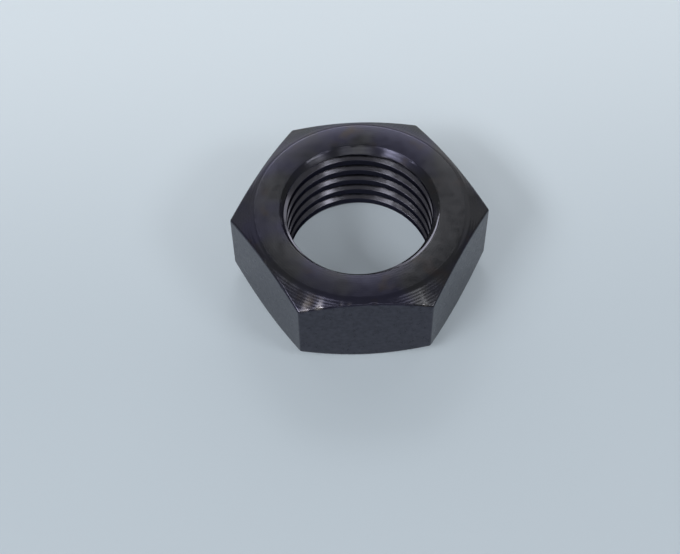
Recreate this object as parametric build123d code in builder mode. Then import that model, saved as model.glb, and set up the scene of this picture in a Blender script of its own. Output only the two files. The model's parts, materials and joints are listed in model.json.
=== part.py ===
"""Clutch hub nut: a plain hexagon nut for a hub shaft with a fine thread.

It is cut from hexagon bar, faced and coned on both ends, bored, countersunk and tapped.
The origin is the middle of the lower face, which seats on the hub, and +Z runs up along
the axis of the bore. Two of the six corners lie on the X axis, so one flat faces -Y.
"""

import os
from math import ceil, cos, pi, radians, tan

from build123d import *

os.makedirs("parts", exist_ok=True)

# The hexagon bar, with its corners as rounded as they come from the mill
across_flats = 17.0
corner_radius = 0.2
thickness = 7.5

# The cone turned on the corners at each end: the round face that it leaves, and how
# steeply it falls away from that face
upper_face_diameter = 16.15
upper_cone_angle = 27.0
lower_face_diameter = 16.15
lower_cone_angle = 33.0

# The right-hand thread, M12 of fine pitch. The hole is drilled so wide that the tap cuts
# about three quarters of the thread's full depth, which leaves broad crests. The start is
# the height of a groove's middle on the +X side.
screw_diameter = 12.0
pitch = 1.25
thread_angle = 60.0
thread_depth = 0.4 * pitch
root_width = pitch / 8
thread_start = 0.042

# The countersink at each mouth of the bore, which is a little wider than the screw so
# that the screw finds its way in
mouth_clearance = 0.05
countersink_angle = 45.0

# The turned section is drawn wider than the hexagon's corners, so that its rim cuts
# nothing and only the two cones reach the bar
side_count = 6
across_corners = across_flats / cos(pi / side_count)
rim_margin = 1.0
rim_radius = across_corners / 2 + rim_margin

screw_radius = screw_diameter / 2
bore_radius = screw_radius - thread_depth
mouth_radius = screw_radius + mouth_clearance
countersink_depth = (mouth_radius - bore_radius) / tan(radians(countersink_angle))
upper_face_radius = upper_face_diameter / 2
lower_face_radius = lower_face_diameter / 2
upper_cone_drop = (rim_radius - upper_face_radius) * tan(radians(upper_cone_angle))
lower_cone_rise = (rim_radius - lower_face_radius) * tan(radians(lower_cone_angle))

# The cutter reaches a little inwards past the bore's wall. Its one turn is repeated up
# the bore, from below the seat to above the upper face, so that no cut ends in the nut.
cutter_reach = 0.1 * pitch
cutter_radius = bore_radius - cutter_reach
cutter_width = root_width + 2 * (thread_depth + cutter_reach) * tan(radians(thread_angle / 2))
lowest_turn = thread_start - 2 * pitch
turn_count = ceil(thickness / pitch) + 3

with BuildPart() as groove_turn:
    with BuildLine():
        turn_path = Helix(pitch=pitch, height=pitch, radius=bore_radius)
    with BuildSketch(Plane.XZ):
        with BuildLine():
            Polyline(
                (cutter_radius, -cutter_width / 2),
                (screw_radius, -root_width / 2),
                (screw_radius, root_width / 2),
                (cutter_radius, cutter_width / 2),
                close=True,
            )
        make_face()
    sweep(path=turn_path, is_frenet=True)

with BuildPart() as hub_nut:
    with BuildSketch():
        RegularPolygon(across_flats / 2, side_count, major_radius=False)
    extrude(amount=thickness)
    fillet(hub_nut.edges().filter_by(Axis.Z), corner_radius)

    # Half of the turned section, from the bore out to the rim
    with BuildSketch(Plane.XZ):
        with BuildLine():
            Polyline(
                (mouth_radius, 0),
                (lower_face_radius, 0),
                (rim_radius, lower_cone_rise),
                (rim_radius, thickness - upper_cone_drop),
                (upper_face_radius, thickness),
                (mouth_radius, thickness),
                (bore_radius, thickness - countersink_depth),
                (bore_radius, countersink_depth),
                close=True,
            )
        make_face()
    revolve(axis=Axis.Z, mode=Mode.INTERSECT)

    with Locations([(0, 0, lowest_turn + turn * pitch) for turn in range(turn_count)]):
        add(groove_turn.part, mode=Mode.SUBTRACT)

hub_nut.part.label = "hub_nut"
export_step(hub_nut.part, "parts/hub_nut.step")
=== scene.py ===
"""A clutch hub nut in black oxide steel, on a pale table in soft window light.

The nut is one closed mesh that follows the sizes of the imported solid. To them it adds
what the eye catches on such a part: rounded edges, tool marks, a few nicks and stains.
"""

import json
from math import asin, atan, atan2, ceil, cos, exp, hypot, pi, radians, sin, sqrt, tan

import bpy
from mathutils import Matrix, Vector


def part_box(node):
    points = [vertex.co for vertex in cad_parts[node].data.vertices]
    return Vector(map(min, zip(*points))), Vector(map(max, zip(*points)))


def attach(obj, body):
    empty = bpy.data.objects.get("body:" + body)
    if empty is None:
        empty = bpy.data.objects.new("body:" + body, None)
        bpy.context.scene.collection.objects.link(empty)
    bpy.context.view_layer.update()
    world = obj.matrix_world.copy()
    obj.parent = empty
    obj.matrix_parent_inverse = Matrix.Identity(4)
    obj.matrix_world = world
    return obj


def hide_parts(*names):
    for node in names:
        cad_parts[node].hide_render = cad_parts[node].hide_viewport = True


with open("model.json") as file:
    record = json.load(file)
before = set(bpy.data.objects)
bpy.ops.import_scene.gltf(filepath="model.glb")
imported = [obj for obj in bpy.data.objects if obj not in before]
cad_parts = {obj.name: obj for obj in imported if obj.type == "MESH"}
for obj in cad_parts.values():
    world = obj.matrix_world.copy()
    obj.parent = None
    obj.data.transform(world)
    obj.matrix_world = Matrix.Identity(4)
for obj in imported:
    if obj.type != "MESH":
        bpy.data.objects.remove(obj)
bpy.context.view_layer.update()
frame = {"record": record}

bl_info = {
    "name": "Clutch hub nut",
    "version": (1, 0, 0),
    "blender": (4, 5, 0),
    "location": "3D View > Sidebar > Hub nut",
    "description": "Makes a black oxide hub nut with a real thread, and a table to show it on",
    "category": "Object",
}

MM = 0.001
FULL_TURN = 2 * pi
SIDES = 6
NODE = "hub_nut"
BODY = "root"

# The finishes, in the order of the nut's materials, and the mesh's attribute for bare steel
TURNED, DRAWN, TAPPED, BORED = range(4)
WEAR = "wear"

node_low, node_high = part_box(NODE)
mounts = {mount["name"]: mount for mount in frame["record"]["mounts"]}
bore_mount = mounts["thread"]["dims"]


def linear(hex_code):
    """The linear colour of an sRGB hex value such as #3A3B40."""
    def channel(part):
        value = int(part, 16) / 255
        return value / 12.92 if value <= 0.04045 else ((value + 0.055) / 1.055) ** 2.4

    code = hex_code.lstrip("#")
    return tuple(channel(code[at:at + 2]) for at in (0, 2, 4)) + (1.0,)


def length(name, description, default):
    """A size in metres, shown in the scene's own unit."""
    return bpy.props.FloatProperty(
        name=name, description=description, default=default, min=0, precision=5, unit="LENGTH"
    )


def angle(name, description, default_degrees):
    """An angle, which is written in degrees here and kept in radians."""
    return bpy.props.FloatProperty(
        name=name, description=description, default=radians(default_degrees), subtype="ANGLE"
    )


def colour(name, description, hex_code):
    """A colour, written as sRGB hex."""
    return bpy.props.FloatVectorProperty(
        name=name,
        description=description,
        default=linear(hex_code),
        size=4,
        min=0,
        max=1,
        subtype="COLOR",
    )


def factor(name, description, default):
    """A share between 0 and 1."""
    return bpy.props.FloatProperty(
        name=name, description=description, default=default, min=0, max=1, subtype="FACTOR"
    )


class HubNutSizes(bpy.types.PropertyGroup):
    """The nut's own sizes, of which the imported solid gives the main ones"""

    across_flats: length(
        "Across flats", "Width between two opposite flats", node_high.y - node_low.y
    )
    thickness: length("Thickness", "Height from seat to upper face", node_high.z)
    bore_radius: length(
        "Bore radius", "Radius at the thread's crests", bore_mount["r_mm"] * MM
    )
    wall_length: length(
        "Bore wall", "Height of the bore between its countersinks", bore_mount["length_mm"] * MM
    )
    corner_radius: length("Corner radius", "Rounding of the six upright corners", 0.2 * MM)
    face_radius: length(
        "Face radius", "Radius of the flat ring that the cones leave", 8.075 * MM
    )
    upper_cone: angle("Upper cone", "Slope of the cone on the upper corners", 27)
    lower_cone: angle("Lower cone", "Slope of the cone on the lower corners", 33)
    countersink: angle("Countersink", "Slope of the countersinks from the axis", 45)
    pitch: length("Pitch", "Distance from one thread turn to the next", 1.25 * MM)
    root_radius: length("Root radius", "Radius at the bottom of the thread groove", 6 * MM)
    flank: angle("Flank", "Slope of each thread flank, half of the thread's angle", 30)
    thread_start: length(
        "Thread start", "Height of a groove's middle on the +X side", 0.042 * MM
    )
    root_width: length("Root width", "Width of the flat at the bottom of the groove", 0.156 * MM)
    edge_round: length("Edge rounding", "Rounding of the edges round the flats", 0.25 * MM)
    face_round: length("Face rounding", "Rounding where a cone meets its face", 0.8 * MM)
    mouth_round: length("Mouth rounding", "Rounding where a countersink meets its face", 0.12 * MM)
    crest_round: length("Crest rounding", "Rounding of the thread's crests", 0.08 * MM)
    root_round: length("Root rounding", "Rounding at the bottom of the thread", 0.08 * MM)


class HubNutFinish(bpy.types.PropertyGroup):
    """The colours and the surface of the blackened steel"""

    oxide: colour("Black oxide", "The neutral black of the turned faces", "#35363A")
    blue_oxide: colour("Blue oxide", "Where the bath left the oxide bluish", "#323243")
    brown_oxide: colour("Brown oxide", "Where the bath left the oxide brownish", "#3B3637")
    drawn_oxide: colour("Oxide on the flats", "The blackened skin of the drawn bar", "#2C2C38")
    thin_oxide: colour("Thin oxide", "Where the skin of the drawn bar took less oxide", "#41414D")
    thread_oxide: colour("Oxide in the thread", "The thin oxide of the cut thread", "#82828D")
    bored_oxide: colour("Oxide on the crests", "The oxide of the bored crests", "#3E3E4A")
    bore_rim: colour("Bore's rim", "What the bore reflects at a glancing angle", "#5A5A62")
    oxide_metallic: factor("Oxide's metal share", "How far the oxide reflects as a metal", 0.6)
    bare_steel: colour("Bare steel", "Steel laid open by nicks and rubbing", "#B4B0AE")
    face_roughness: factor("Face roughness", "Roughness of the turned faces", 0.2)
    flat_roughness: factor("Flat roughness", "Roughness of the drawn flats", 0.32)
    thread_roughness: factor("Thread roughness", "Roughness of the cut thread", 0.16)
    crest_roughness: factor("Crest roughness", "Roughness of the bored crests", 0.45)
    feed: length("Turning feed", "Distance between two turning marks", 0.2 * MM)
    mark_depth: length("Turning depth", "Depth of the turning marks", 0.002 * MM)
    grain: length("Grain", "Width of the pits on the flats", 0.35 * MM)
    grain_depth: length("Grain depth", "Depth of the pits on the flats", 0.003 * MM)
    stain: length("Stain", "Width of the oxide's stains", 5 * MM)


class HubNutStage(bpy.types.PropertyGroup):
    """The table, the light and the camera"""

    # The front and back colours paint light onto the table: the back is painted paler, where more
    # light falls
    table_front: colour("Table front", "The blue-grey table in front of the nut", "#AEB9C2")
    painted_lit_table_back: colour("Table back", "The table behind the nut, a little paler", "#C7D1D9")
    painted_light_blend: length("Table blend", "Depth over which the table turns paler", 44 * MM)
    table_glow: factor("Table glow", "Light that the table shows of its own", 0.3)
    camera_azimuth: angle("Camera azimuth", "Where the camera stands round the nut", -1.82)
    camera_elevation: angle("Camera elevation", "Height of the camera over the table", 56.62)
    camera_roll: angle("Camera roll", "Tilt of the camera to its own left", -0.92)
    camera_distance: length("Camera distance", "From the nut's seat to the camera", 113.9 * MM)
    lens: bpy.props.FloatProperty(
        name="Lens", description="Focal length", default=76, unit="CAMERA"
    )
    sky: bpy.props.FloatProperty(
        name="Sky", description="Strength of the even light from all round", default=0.12, min=0
    )


class Point:
    """A place on the nut's half section: its radius and its height."""

    def __init__(self, r, z):
        self.r = r
        self.z = z

    def towards(self, other, distance):
        """The point that lies this far along the way to the other one."""
        share = distance / hypot(other.r - self.r, other.z - self.z)
        return Point(self.r + (other.r - self.r) * share, self.z + (other.z - self.z) * share)


def fillet_points(before, corner, after, radius, steps, guards):
    """The corner of an outline as an arc, with a few more points on each side of it.

    Those stand the guards' lengths off the arc, so that the shading of the arc doesn't
    reach across the faces beside it.
    """
    way_in = atan2(corner.z - before.z, corner.r - before.r)
    way_out = atan2(after.z - corner.z, after.r - corner.r)
    turn = (way_out - way_in + pi) % FULL_TURN - pi
    reach = radius * abs(tan(turn / 2))
    start = corner.towards(before, reach)
    side = 1 if turn > 0 else -1
    centre = Point(start.r - side * radius * sin(way_in), start.z + side * radius * cos(way_in))
    points = [corner.towards(before, reach + guard) for guard in reversed(guards)]
    for step in range(steps + 1):
        at = way_in + turn * step / steps - side * pi / 2
        points.append(Point(centre.r + radius * cos(at), centre.z + radius * sin(at)))
    return points + [corner.towards(after, reach + guard) for guard in guards]


class Hexagon:
    """The nut seen from above: six flats, with an arc at each corner."""

    def __init__(self, sizes):
        self.sector = FULL_TURN / SIDES
        self.half_width = sizes.across_flats / 2
        self.corner_radius = sizes.corner_radius
        core = self.half_width - self.corner_radius
        # How far the arcs' middles lie from the axis, and the direction in which a flat
        # turns into an arc, counted from the middle of the flat
        self.arc_distance = core / cos(self.sector / 2)
        self.arc_start = atan(core * tan(self.sector / 2) / self.half_width)

    def radius_at(self, direction):
        """How far the upright side stands from the axis, in a direction in radians."""
        off_flat = (direction % self.sector) - self.sector / 2
        if abs(off_flat) <= self.arc_start:
            return self.half_width / cos(off_flat)
        off_corner = self.sector / 2 - abs(off_flat)
        across = self.arc_distance * sin(off_corner)
        rise = sqrt(max(self.corner_radius ** 2 - across ** 2, 0))
        return self.arc_distance * cos(off_corner) + rise

    def column_directions(self):
        """The directions of the mesh's upright columns, with more of them at each corner."""
        plain_columns = 36
        arc_columns = 8
        # One more column stands this far off each end of a corner's arc
        guard = 0.06 * MM / self.arc_distance
        corner_half = []
        for step in range(arc_columns // 2 + 1):
            lean = self.sector / 2 * step / (arc_columns // 2)
            side = self.corner_radius * sin(lean)
            out = self.arc_distance + self.corner_radius * cos(lean)
            corner_half.append(atan2(side, out))
        corner_half.append(self.sector / 2 - self.arc_start + guard)
        first, last = corner_half[-1], self.sector - corner_half[-1]
        plain = [first + (last - first) * step / plain_columns for step in range(1, plain_columns)]
        one_side = corner_half + plain + [self.sector - off for off in reversed(corner_half[1:])]
        directions = [side * self.sector + off for side in range(SIDES) for off in one_side]
        # A nick adds its own columns, where none stands close by
        closest = 0.04 * MM / self.arc_distance
        for nick in NICKS:
            for extra in nick.column_directions(self.half_width):
                if min(abs(extra - direction) for direction in directions) > closest:
                    directions.append(extra)
        return sorted(directions)


class Mouth:
    """The countersink at either end of the bore, with its edge rounded into the face."""

    def __init__(self, sizes):
        self.slope = tan(sizes.countersink)
        self.edge = sizes.bore_radius + (sizes.thickness - sizes.wall_length) / 2 * self.slope
        self.rounding = sizes.mouth_round
        tilt = pi / 2 - sizes.countersink
        self.face_edge = self.edge + self.rounding * tan(tilt / 2)
        self.cone_start = self.rounding * (1 - cos(tilt))
        # The groove runs out where the rounded edge is as wide as the thread's root
        across = self.face_edge - sizes.root_radius
        self.ring_depth = self.rounding - sqrt(self.rounding ** 2 - across ** 2)

    def radius_at(self, depth):
        """How wide the mouth is at this depth under its face."""
        if depth >= self.cone_start:
            return self.edge - depth * self.slope
        return self.face_edge - sqrt(self.rounding ** 2 - (self.rounding - depth) ** 2)

    def edge_points(self, steps):
        """The rounded edge from the groove's end to the face, each with its depth for z."""
        last = asin((self.face_edge - self.radius_at(self.ring_depth)) / self.rounding)
        tilts = [last * (1 - step / steps) for step in range(steps + 1)]
        return [
            Point(
                self.face_edge - self.rounding * sin(tilt), self.rounding * (1 - cos(tilt))
            )
            for tilt in tilts
        ]


class Nick:
    """A knock beside the upper edge of one flat, which can lay the steel bare.

    Its flat is named by the direction it faces, and its place is counted along that flat
    from the middle, anticlockwise seen from above. It lies a drop below the edge.
    """

    def __init__(self, flat, place, drop, length, width, depth, bare):
        self.flat = radians(flat)
        self.place = place * MM
        self.drop = drop * MM
        self.length = length * MM
        self.width = width * MM
        self.depth = depth * MM
        self.bare = bare

    def column_directions(self, flat_distance):
        """Where the mesh needs columns of its own to show this nick."""
        widest_column = 0.1 * MM
        count = ceil(2 * self.length / widest_column)
        places = [self.place + self.length * (2 * step / count - 1) for step in range(count + 1)]
        return [self.flat + atan(place / flat_distance) for place in places]

    def share(self, sizes, direction, point, edge):
        """How far the nick takes hold of a point of the outline here, from 0 to 1."""
        turn = direction - self.flat
        # It reaches no further than just past the corners of its own flat
        past_corner = 0.01
        if cos(turn) < cos(pi / SIDES) - past_corner:
            return 0
        along = point.r * sin(turn) - self.place
        # Counted down the cone above the edge, and straight down below it
        slope = (1 - sin(sizes.upper_cone)) / cos(sizes.upper_cone)
        down = edge.z - point.z - slope * (edge.r - point.r)
        bell = exp(-(2 * along / self.length) ** 2 - (2 * (down - self.drop) / self.width) ** 2)
        # The bell's faint skirt is cut off, so that the nick has an end
        skirt = 0.05
        return max(0, bell - skirt) / (1 - skirt)


NICKS = (
    Nick(flat=270, place=-3.4, drop=-0.1, length=0.5, width=0.34, depth=0.03, bare=0.5),
    Nick(flat=270, place=-4.5, drop=-0.12, length=0.7, width=0.3, depth=0.02, bare=0.2),
    Nick(flat=270, place=-2.6, drop=-0.02, length=0.5, width=0.2, depth=0.03, bare=0.0),
    Nick(flat=270, place=-1.8, drop=-0.16, length=0.2, width=0.2, depth=0.01, bare=0.12),
    Nick(flat=270, place=-1.2, drop=-0.16, length=0.3, width=0.2, depth=0.01, bare=0.1),
    Nick(flat=270, place=0.6, drop=-0.05, length=0.6, width=0.24, depth=0.04, bare=0.0),
    Nick(flat=270, place=4.3, drop=-0.1, length=0.3, width=0.26, depth=0.02, bare=0.15),
    Nick(flat=210, place=0.23, drop=-0.04, length=0.3, width=0.26, depth=0.04, bare=0.12),
    Nick(flat=210, place=2.6, drop=0.0, length=0.5, width=0.24, depth=0.05, bare=0.0),
)


def upper_edge(sizes, side):
    """Where the upper cone would meet a side at this radius, were their edge not rounded."""
    return Point(side, sizes.thickness - (side - sizes.face_radius) * tan(sizes.upper_cone))


def section_outline(sizes, mouth, side):
    """The half section's outside from the lower countersink round to the upper one.

    Its side stands at this radius. Returns its points, and for each stretch between two of
    them the finish of its face.
    """
    top = sizes.thickness
    corners = [
        Point(mouth.face_edge, 0),
        Point(sizes.face_radius, 0),
        Point(side, (side - sizes.face_radius) * tan(sizes.lower_cone)),
        upper_edge(sizes, side),
        Point(sizes.face_radius, top),
        Point(mouth.face_edge, top),
    ]
    radii = [sizes.face_round, sizes.edge_round, sizes.edge_round, sizes.face_round]
    # The finish of the face that leads to each rounded edge
    finishes = [TURNED, TURNED, DRAWN, TURNED]
    arc_steps = 5
    guard = [0.02 * MM]
    # The rows beside the flats' upper edge carry the nicks
    nick_rows = [0.02 * MM, 0.04 * MM, 0.07 * MM, 0.1 * MM]
    guards = [guard, guard, nick_rows, guard]
    points = mouth.edge_points(arc_steps)
    faces = [TURNED] * arc_steps
    for at, radius in enumerate(radii, start=1):
        arc = fillet_points(
            corners[at - 1], corners[at], corners[at + 1], radius, arc_steps, guards[at - 1]
        )
        # The oxide changes in the middle of each rounded edge
        middle = len(arc) // 2
        next_finish = finishes[at % len(finishes)]
        faces += [finishes[at - 1]] * (len(arc) - middle) + [next_finish] * middle
        points += arc
    rim = [Point(point.r, top - point.z) for point in reversed(mouth.edge_points(arc_steps))]
    faces += [TURNED] * len(rim)
    return points + rim, faces


def thread_rows(sizes):
    """One turn of the thread from crest to crest, as points with the height from its root."""
    root_half = sizes.root_width / 2
    mouth_half = root_half + (sizes.root_radius - sizes.bore_radius) * tan(sizes.flank)
    corners = [
        Point(sizes.bore_radius, -sizes.pitch / 2),
        Point(sizes.bore_radius, -mouth_half),
        Point(sizes.root_radius, -root_half),
        Point(sizes.root_radius, root_half),
        Point(sizes.bore_radius, mouth_half),
        Point(sizes.bore_radius, sizes.pitch / 2),
    ]
    radii = [sizes.crest_round, sizes.root_round, sizes.root_round, sizes.crest_round]
    arc_steps = 3
    guard = [0.01 * MM]
    widest_row = 0.1 * MM
    line = [corners[0]]
    for at, radius in enumerate(radii, start=1):
        line += fillet_points(
            corners[at - 1], corners[at], corners[at + 1], radius, arc_steps, guard
        )
    line.append(corners[-1])
    rows = []
    for start, end in zip(line, line[1:]):
        pieces = max(1, ceil((end.z - start.z) / widest_row))
        for step in range(pieces):
            share = step / pieces
            rows.append(
                Point(
                    start.r + (end.r - start.r) * share,
                    start.z + (end.z - start.z) * share,
                )
            )
    return rows


class NutMesh:
    """Collects the nut's vertices and faces, column by column round the axis."""

    def __init__(self, sizes):
        self.sizes = sizes
        self.hexagon = Hexagon(sizes)
        self.mouth = Mouth(sizes)
        self.vertices = []
        self.wear = []
        self.faces = []
        self.finishes = []
        self.directions = self.hexagon.column_directions()

    def add_vertex(self, direction, point, wear=0.0):
        """A vertex at this point of the half section, turned round to this direction."""
        self.vertices.append((point.r * cos(direction), point.r * sin(direction), point.z))
        self.wear.append(wear)
        return len(self.vertices) - 1

    def add_nicked_vertex(self, direction, point, edge):
        """A vertex of the outside, pressed in and laid bare by the nicks near it."""
        depth = wear = 0.0
        for nick in NICKS:
            share = nick.share(self.sizes, direction, point, edge)
            depth += share * nick.depth
            wear += share * nick.bare
        # The knocks came at 45 degrees, from above and outside
        inwards = depth * sin(pi / 4)
        pressed = Point(point.r - inwards, point.z - inwards)
        return self.add_vertex(direction, pressed, min(wear, 1.0))

    def add_face(self, corners, finish):
        """A face without the corners that fall together, if at least three are left."""
        kept = [corner for at, corner in enumerate(corners) if corner != corners[at - 1]]
        if len(set(kept)) < 3:
            return
        self.faces.append(kept)
        self.finishes.append(finish)

    def build_outside(self):
        """The seat, the cones, the flats and the upper face."""
        columns = []
        for direction in self.directions:
            side = self.hexagon.radius_at(direction)
            points, finishes = section_outline(self.sizes, self.mouth, side)
            edge = upper_edge(self.sizes, side)
            columns.append([self.add_nicked_vertex(direction, point, edge) for point in points])
        for at, column in enumerate(columns):
            beside = columns[(at + 1) % len(columns)]
            for row, finish in enumerate(finishes):
                self.add_face(
                    [column[row], beside[row], beside[row + 1], column[row + 1]], finish
                )
        return [column[0] for column in columns], [column[-1] for column in columns]

    def build_thread(self, lower_ring, upper_ring):
        """The bore's wall. Its rows climb with the thread, one pitch in each turn."""
        sizes = self.sizes
        rows = thread_rows(sizes)
        low = self.mouth.ring_depth
        high = sizes.thickness - low
        # Two turns more than the nut is thick, so that every column runs out at both ends
        turns = ceil(sizes.thickness / sizes.pitch) + 2
        count = turns * len(rows)
        # The countersinks were turned and the thread's crests bored, before the tap came.
        # A crest ends a hair past where its rounding meets the flank.
        hair = 0.001 * MM
        crest_end = sizes.bore_radius + sizes.crest_round * (1 - sin(sizes.flank)) + hair
        turned = set(lower_ring) | set(upper_ring)
        bored = set()
        columns = []
        for at, direction in enumerate(self.directions):
            climb = sizes.thread_start + sizes.pitch * (direction / FULL_TURN - 1)
            column = []
            for number in range(count):
                row = rows[number % len(rows)]
                z = row.z + climb + sizes.pitch * (number // len(rows))
                if z <= low:
                    column.append(lower_ring[at])
                elif z >= high:
                    column.append(upper_ring[at])
                else:
                    mouth_radius = self.mouth.radius_at(min(z, sizes.thickness - z))
                    wall = Point(max(row.r, mouth_radius), z)
                    column.append(self.add_vertex(direction, wall))
                    if wall.r != row.r:
                        turned.add(column[-1])
                    elif row.r < crest_end:
                        bored.add(column[-1])
            columns.append(column)
        # One turn on, the first column stands a pitch higher
        columns.append(columns[0][len(rows):] + [upper_ring[0]] * len(rows))
        for column, beside in zip(columns, columns[1:]):
            for row in range(count - 1):
                corners = [column[row], column[row + 1], beside[row + 1], beside[row]]
                if turned.issuperset(corners):
                    self.add_face(corners, TURNED)
                else:
                    self.add_face(corners, BORED if bored.issuperset(corners) else TAPPED)

    def to_mesh(self, name):
        """The Blender mesh, smoothly shaded, with its finishes and its wear."""
        mesh = bpy.data.meshes.new(name)
        mesh.from_pydata(self.vertices, [], self.faces)
        mesh.polygons.foreach_set("material_index", self.finishes)
        mesh.polygons.foreach_set("use_smooth", [True] * len(self.faces))
        mesh.attributes.new(WEAR, "FLOAT", "POINT").data.foreach_set("value", self.wear)
        mesh.validate()
        mesh.update()
        return mesh


def add_node(tree, kind, sockets, **properties):
    """Adds a node, sets its properties, and fills the sockets that these identifiers name.

    A socket takes a value, another node's output, or a node, of which it takes the first
    output in use.
    """
    node = tree.nodes.new(kind)
    for name, value in properties.items():
        setattr(node, name, value)
    named = {socket.identifier: socket for socket in node.inputs}
    for name, value in sockets.items():
        if isinstance(value, bpy.types.Node):
            value = next(output for output in value.outputs if output.enabled)
        if isinstance(value, bpy.types.NodeSocket):
            tree.links.new(value, named[name])
        else:
            named[name].default_value = value
    return node


def new_material(name):
    """An empty material with its node tree, and the object's own coordinates in it."""
    material = bpy.data.materials.new(name)
    material.use_nodes = True
    tree = material.node_tree
    tree.nodes.clear()
    return material, tree, add_node(tree, "ShaderNodeTexCoord", {}).outputs["Object"]


def close_black_oxide(tree, finish, tint, roughness, normal):
    """Blackened steel of this tint, and bare steel where the mesh is worn.

    The oxide is magnetite, which is only partly a metal: its dark colour tints its body
    and part of its gloss, and the bare spots alone reflect as steel does.
    """
    worn = add_node(tree, "ShaderNodeAttribute", {}, attribute_name=WEAR).outputs["Fac"]
    base = add_node(
        tree,
        "ShaderNodeMix",
        {"Factor_Float": worn, "A_Color": tint, "B_Color": finish.bare_steel},
        data_type="RGBA",
    )
    bared = add_node(
        tree, "ShaderNodeMapRange", {"Value": worn, "To Min": finish.oxide_metallic, "To Max": 1}
    )
    shader = add_node(
        tree,
        "ShaderNodeBsdfPrincipled",
        {"Base Color": base, "Metallic": bared, "Roughness": roughness, "Normal": normal},
    )
    add_node(tree, "ShaderNodeOutputMaterial", {"Surface": shader})


def make_turned(finish):
    """Faced and coned in the lathe, then blackened.

    The tool leaves fine rings, which draw a highlight out into arcs. The oxide is thin
    and lies unevenly: neutral black runs into bluish and brownish stains.
    """
    material, tree, place = new_material("turned black oxide steel")
    # Wide bluish stains, brownish ones a third as wide, and small clouds in the gloss
    wide = add_node(
        tree, "ShaderNodeTexNoise", {"Vector": place, "Scale": 1 / finish.stain, "Detail": 2}
    )
    bluish = add_node(
        tree, "ShaderNodeMapRange", {"Value": wide, "From Min": 0.42, "From Max": 0.56}
    )
    narrow = add_node(
        tree, "ShaderNodeTexNoise", {"Vector": place, "Scale": 3 / finish.stain, "Detail": 3}
    )
    brownish = add_node(
        tree, "ShaderNodeMapRange", {"Value": narrow, "From Min": 0.58, "From Max": 0.75}
    )
    neutral_to_blue = add_node(
        tree,
        "ShaderNodeMix",
        {"Factor_Float": bluish, "A_Color": finish.oxide, "B_Color": finish.blue_oxide},
        data_type="RGBA",
    )
    tint = add_node(
        tree,
        "ShaderNodeMix",
        {"Factor_Float": brownish, "A_Color": neutral_to_blue, "B_Color": finish.brown_oxide},
        data_type="RGBA",
    )
    cloud = add_node(
        tree, "ShaderNodeTexNoise", {"Vector": place, "Scale": 8 / finish.stain, "Detail": 4}
    )
    spread = 0.04
    roughness = add_node(
        tree,
        "ShaderNodeMapRange",
        {
            "Value": cloud,
            "From Min": 0.3,
            "From Max": 0.7,
            "To Min": finish.face_roughness - spread,
            "To Max": finish.face_roughness + spread,
        },
    )
    # At a scale of 1 the wave's rings stand pi / 10 apart
    rings = add_node(
        tree,
        "ShaderNodeTexWave",
        {
            "Vector": place,
            "Scale": pi / 10 / finish.feed,
            "Distortion": 0.8,
            "Detail": 2,
            "Detail Scale": 0.3,
        },
        wave_type="RINGS",
        rings_direction="Z",
    )
    # The cones were turned more coarsely than the faces, so their marks show more
    level = add_node(
        tree,
        "ShaderNodeVectorMath",
        {"Vector": place, "Vector_001": (1, 1, 0)},
        operation="MULTIPLY",
    )
    radius = add_node(tree, "ShaderNodeVectorMath", {"Vector": level}, operation="LENGTH")
    strength = add_node(
        tree,
        "ShaderNodeMapRange",
        {"Value": radius, "From Min": 7.8 * MM, "From Max": 8.2 * MM, "To Min": 0.3, "To Max": 1},
    )
    normal = add_node(
        tree,
        "ShaderNodeBump",
        {"Height": rings, "Distance": finish.mark_depth, "Strength": strength},
    )
    close_black_oxide(tree, finish, tint, roughness, normal)
    return material


def make_drawn(finish):
    """The skin of the drawn bar, blackened.

    It is finely pitted and its oxide is mottled, so it shines more softly than the turned
    faces and no reflection has a sharp edge.
    """
    material, tree, place = new_material("drawn black oxide steel")
    pits = add_node(
        tree, "ShaderNodeTexNoise", {"Vector": place, "Scale": 1 / finish.grain, "Detail": 4}
    )
    thin = add_node(tree, "ShaderNodeMapRange", {"Value": pits, "From Min": 0.3, "From Max": 0.7})
    tint = add_node(
        tree,
        "ShaderNodeMix",
        {"Factor_Float": thin, "A_Color": finish.drawn_oxide, "B_Color": finish.thin_oxide},
        data_type="RGBA",
    )
    spread = 0.06
    roughness = add_node(
        tree,
        "ShaderNodeMapRange",
        {
            "Value": pits,
            "From Min": 0.3,
            "From Max": 0.7,
            "To Min": finish.flat_roughness - spread,
            "To Max": finish.flat_roughness + spread,
        },
    )
    normal = add_node(
        tree, "ShaderNodeBump", {"Height": pits, "Distance": finish.grain_depth, "Strength": 1}
    )
    close_black_oxide(tree, finish, tint, roughness, normal)
    return material


def make_bore_skin(finish, name, tint, middle_roughness):
    """The bore as the drill or the tap left it, smooth in places and torn in others.

    Its oxide is thin, so it reflects as a metal all through. It is also porous, so that
    its rim doesn't light up as clean metal would.
    """
    material, tree, place = new_material(name)
    # The torn patches are twice as wide as the pits on the flats
    tears = add_node(
        tree, "ShaderNodeTexNoise", {"Vector": place, "Scale": 0.5 / finish.grain, "Detail": 4}
    )
    spread = 0.04
    roughness = add_node(
        tree,
        "ShaderNodeMapRange",
        {
            "Value": tears,
            "From Min": 0.3,
            "From Max": 0.7,
            "To Min": middle_roughness - spread,
            "To Max": middle_roughness + spread,
        },
    )
    normal = add_node(
        tree, "ShaderNodeBump", {"Height": tears, "Distance": finish.grain_depth, "Strength": 1}
    )
    shader = add_node(
        tree,
        "ShaderNodeBsdfPrincipled",
        {
            "Base Color": tint,
            "Metallic": 1,
            "Roughness": roughness,
            "Specular Tint": finish.bore_rim,
            "Normal": normal,
        },
    )
    add_node(tree, "ShaderNodeOutputMaterial", {"Surface": shader})
    return material


def make_tapped(finish):
    """The thread's flanks and roots, smooth from the tap, with short bright reflections."""
    return make_bore_skin(
        finish, "tapped black oxide steel", finish.thread_oxide, finish.thread_roughness
    )


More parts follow.
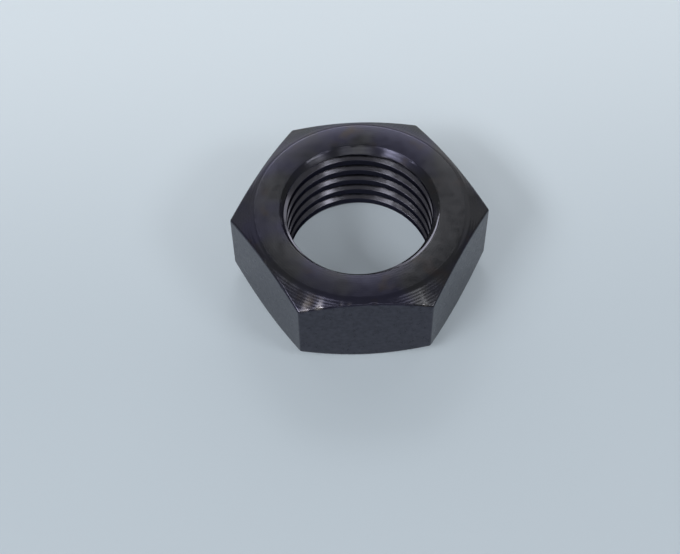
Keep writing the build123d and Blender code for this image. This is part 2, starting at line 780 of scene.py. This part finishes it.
def make_bored(finish):
    """The thread's crests, dull and dark beside the tapped flanks."""
    return make_bore_skin(
        finish, "bored black oxide steel", finish.bored_oxide, finish.crest_roughness
    )


class HUBNUT_OT_make_nut(bpy.types.Operator):
    """Makes the nut with its thread and its four finishes"""

    bl_idname = "hub_nut.make_nut"
    bl_label = "Make the nut"

    def execute(self, context):
        sizes = context.scene.hub_nut_sizes
        finish = context.scene.hub_nut_finish
        builder = NutMesh(sizes)
        lower_ring, upper_ring = builder.build_outside()
        builder.build_thread(lower_ring, upper_ring)
        nut = bpy.data.objects.new("black_oxide_nut", builder.to_mesh("black_oxide_nut"))
        context.scene.collection.objects.link(nut)
        for make in (make_turned, make_drawn, make_tapped, make_bored):
            nut.data.materials.append(make(finish))
        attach(nut, BODY)
        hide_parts(NODE)
        return {"FINISHED"}


class HUBNUT_OT_make_stage(bpy.types.Operator):
    """Makes the table, the lamps, the sky and the camera"""

    bl_idname = "hub_nut.make_stage"
    bl_label = "Make the stage"

    def execute(self, context):
        stage = context.scene.hub_nut_stage
        make_table(context.scene, stage)
        make_light(context.scene, stage)
        make_camera(context.scene, stage)
        context.scene.view_settings.view_transform = "Standard"
        return {"FINISHED"}


def make_table(scene, stage):
    """A table that fills the picture. Its top lies a hair below the nut's seat."""
    half = 600 * MM
    z = -0.01 * MM
    mesh = bpy.data.meshes.new("table")
    corners = [(-half, -half, z), (half, -half, z), (half, half, z), (-half, half, z)]
    mesh.from_pydata(corners, [], [(0, 1, 2, 3)])
    table = bpy.data.objects.new("table", mesh)
    scene.collection.objects.link(table)
    mesh.materials.append(make_laminate(stage))


def make_laminate(stage):
    """Matt laminate: it takes soft shadows and mirrors next to nothing.

    Its colour carries painted light: it turns paler towards the back, where more light falls, and
    stays darker in front.
    """
    material, tree, place = new_material("matt laminate")
    across = add_node(tree, "ShaderNodeSeparateXYZ", {"Vector": place})
    # Painted light: the table turns paler towards the back. A quarter of the blend lies in front
    # of the nut's axis, and the rest behind it
    painted_back_light = add_node(
        tree,
        "ShaderNodeMapRange",
        {
            "Value": across.outputs["Y"],
            "From Min": -stage.painted_light_blend / 4,
            "From Max": stage.painted_light_blend * 3 / 4,
        },
        interpolation_type="SMOOTHSTEP",
    )
    tone = add_node(
        tree,
        "ShaderNodeMix",
        {"Factor_Float": painted_back_light, "A_Color": stage.table_front, "B_Color": stage.painted_lit_table_back},
        data_type="RGBA",
    )
    # The eye and the polished steel see the table a little lifted, as a camera's soft
    # contrast does, and the nut's shadow stays on it
    path = add_node(tree, "ShaderNodeLightPath", {})
    seen = add_node(
        tree,
        "ShaderNodeMath",
        {"Value": path.outputs["Is Camera Ray"], "Value_001": path.outputs["Is Glossy Ray"]},
        operation="MAXIMUM",
    )
    glow = add_node(
        tree,
        "ShaderNodeMath",
        {"Value": seen, "Value_001": stage.table_glow},
        operation="MULTIPLY",
    )
    shader = add_node(
        tree,
        "ShaderNodeBsdfPrincipled",
        {
            "Base Color": tone,
            "Roughness": 0.7,
            "Emission Color": tone,
            "Emission Strength": glow,
        },
    )
    add_node(tree, "ShaderNodeOutputMaterial", {"Surface": shader})
    return material


class Softbox:
    """A lamp behind a square of cloth, seen from the nut as so many degrees wide and high."""

    distance = 500 * MM

    def __init__(self, name, azimuth, elevation, width, height, brightness):
        self.name = name
        self.azimuth = radians(azimuth)
        self.elevation = radians(elevation)
        self.width = 2 * self.distance * tan(radians(width) / 2)
        self.height = 2 * self.distance * tan(radians(height) / 2)
        self.brightness = brightness

    def add(self, scene):
        """Puts the lamp up, as bright as white paper in full light times its brightness."""
        data = bpy.data.lights.new(self.name, "AREA")
        data.shape = "RECTANGLE"
        data.size = self.width
        data.size_y = self.height
        data.energy = self.brightness * pi * self.width * self.height
        lamp = bpy.data.objects.new(self.name, data)
        towards = Vector((
            cos(self.azimuth) * cos(self.elevation),
            sin(self.azimuth) * cos(self.elevation),
            sin(self.elevation),
        ))
        lamp.location = towards * self.distance
        lamp.rotation_euler = towards.to_track_quat("Z", "Y").to_euler()
        scene.collection.objects.link(lamp)


SOFTBOXES = (
    Softbox("left window", azimuth=-140, elevation=43, width=18, height=11, brightness=18),
    Softbox("left window side", azimuth=-162, elevation=43, width=15, height=11, brightness=6),
    Softbox("left window top", azimuth=-128, elevation=58, width=14, height=8, brightness=4.4),
    Softbox("front wall", azimuth=-88, elevation=37, width=34, height=8, brightness=2),
    Softbox("right window", azimuth=-32, elevation=41, width=16, height=12, brightness=9.5),
    Softbox("right window top", azimuth=-37, elevation=56, width=11, height=7, brightness=3.8),
    Softbox("back window", azimuth=90, elevation=44, width=20, height=13, brightness=4.8),
    Softbox("back wall", azimuth=90, elevation=12, width=96, height=16, brightness=1.4),
    Softbox("back wall top", azimuth=90, elevation=29, width=60, height=18, brightness=0.5),
    Softbox("back left wall", azimuth=129, elevation=38, width=38, height=32, brightness=0.4),
    Softbox("back right wall", azimuth=51, elevation=38, width=38, height=32, brightness=0.5),
)


def make_light(scene, stage):
    """The windows and the pale walls round the nut, and an even light from the room."""
    for softbox in SOFTBOXES:
        softbox.add(scene)
    world = bpy.data.worlds.new("room")
    world.use_nodes = True
    tree = world.node_tree
    tree.nodes.clear()
    sky = add_node(tree, "ShaderNodeBackground", {"Color": (1, 1, 1, 1), "Strength": stage.sky})
    add_node(tree, "ShaderNodeOutputWorld", {"Surface": sky})
    scene.world = world


def make_camera(scene, stage):
    """The camera, where the photograph was taken from."""
    azimuth, elevation = stage.camera_azimuth, stage.camera_elevation
    back = Vector((
        sin(azimuth) * cos(elevation),
        -cos(azimuth) * cos(elevation),
        sin(elevation),
    ))
    level_right = Vector((cos(azimuth), sin(azimuth), 0))
    level_up = back.cross(level_right)
    roll = stage.camera_roll
    right = cos(roll) * level_right + sin(roll) * level_up
    up = back.cross(right)
    # The nut stands this far right of the picture's middle and above it
    nut_right, nut_up = 1.551 * MM, 1.05 * MM
    data = bpy.data.cameras.new("camera")
    data.lens = stage.lens
    data.clip_start = 10 * MM
    camera = bpy.data.objects.new("camera", data)
    place = back * stage.camera_distance - right * nut_right - up * nut_up
    turn = Matrix((right, up, back)).transposed().to_4x4()
    camera.matrix_world = Matrix.Translation(place) @ turn
    scene.collection.objects.link(camera)
    scene.camera = camera


class HUBNUT_PT_panel(bpy.types.Panel):
    """Lists the steps that make the nut and its stage"""

    bl_idname = "HUBNUT_PT_panel"
    bl_label = "Hub nut"
    bl_space_type = "VIEW_3D"
    bl_region_type = "UI"
    bl_category = "Hub nut"

    def draw(self, context):
        column = self.layout.column()
        for group in (context.scene.hub_nut_sizes, context.scene.hub_nut_finish):
            for name in group.__annotations__:
                column.prop(group, name)
        column.operator(HUBNUT_OT_make_nut.bl_idname)
        for name in HubNutStage.__annotations__:
            column.prop(context.scene.hub_nut_stage, name)
        column.operator(HUBNUT_OT_make_stage.bl_idname)


CLASSES = (
    HubNutSizes,
    HubNutFinish,
    HubNutStage,
    HUBNUT_OT_make_nut,
    HUBNUT_OT_make_stage,
    HUBNUT_PT_panel,
)


def register():
    for cls in CLASSES:
        bpy.utils.register_class(cls)
    bpy.types.Scene.hub_nut_sizes = bpy.props.PointerProperty(type=HubNutSizes)
    bpy.types.Scene.hub_nut_finish = bpy.props.PointerProperty(type=HubNutFinish)
    bpy.types.Scene.hub_nut_stage = bpy.props.PointerProperty(type=HubNutStage)


def unregister():
    del bpy.types.Scene.hub_nut_stage
    del bpy.types.Scene.hub_nut_finish
    del bpy.types.Scene.hub_nut_sizes
    for cls in reversed(CLASSES):
        bpy.utils.unregister_class(cls)


def main():
    register()
    bpy.ops.hub_nut.make_nut()
    bpy.ops.hub_nut.make_stage()


if __name__ == "__main__":
    main()
